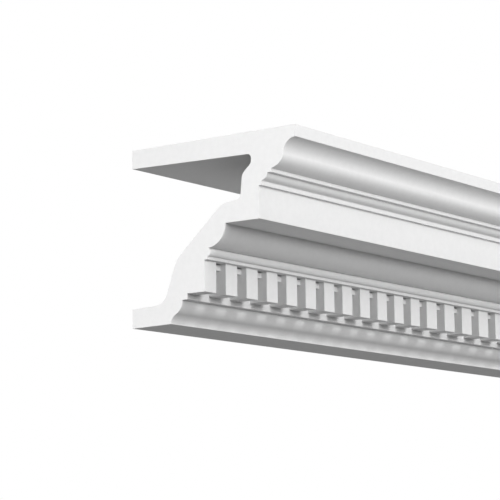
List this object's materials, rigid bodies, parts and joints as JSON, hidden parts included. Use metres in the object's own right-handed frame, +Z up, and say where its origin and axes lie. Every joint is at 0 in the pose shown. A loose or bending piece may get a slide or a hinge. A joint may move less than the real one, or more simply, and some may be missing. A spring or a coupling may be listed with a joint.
{
  "type": "cornice moulding length",
  "caption": "Straight length of dentil cornice with a hollow back, for the joint of a wall and a ceiling, cut square at both ends.",
  "frame": {"origin": "middle of the foot's flat back face, which lies on the wall", "axes": "+X along the length, +Y into the wall, so the moulded front faces -Y, and +Z up to the ceiling"},
  "size_m": [1, 0.234, 0.21],
  "materials": {
    "primed_foam": "matte"
  },
  "bodies": {
    "root": {"cornice_moulding": "primed_foam"}
  },
  "joints": []
}
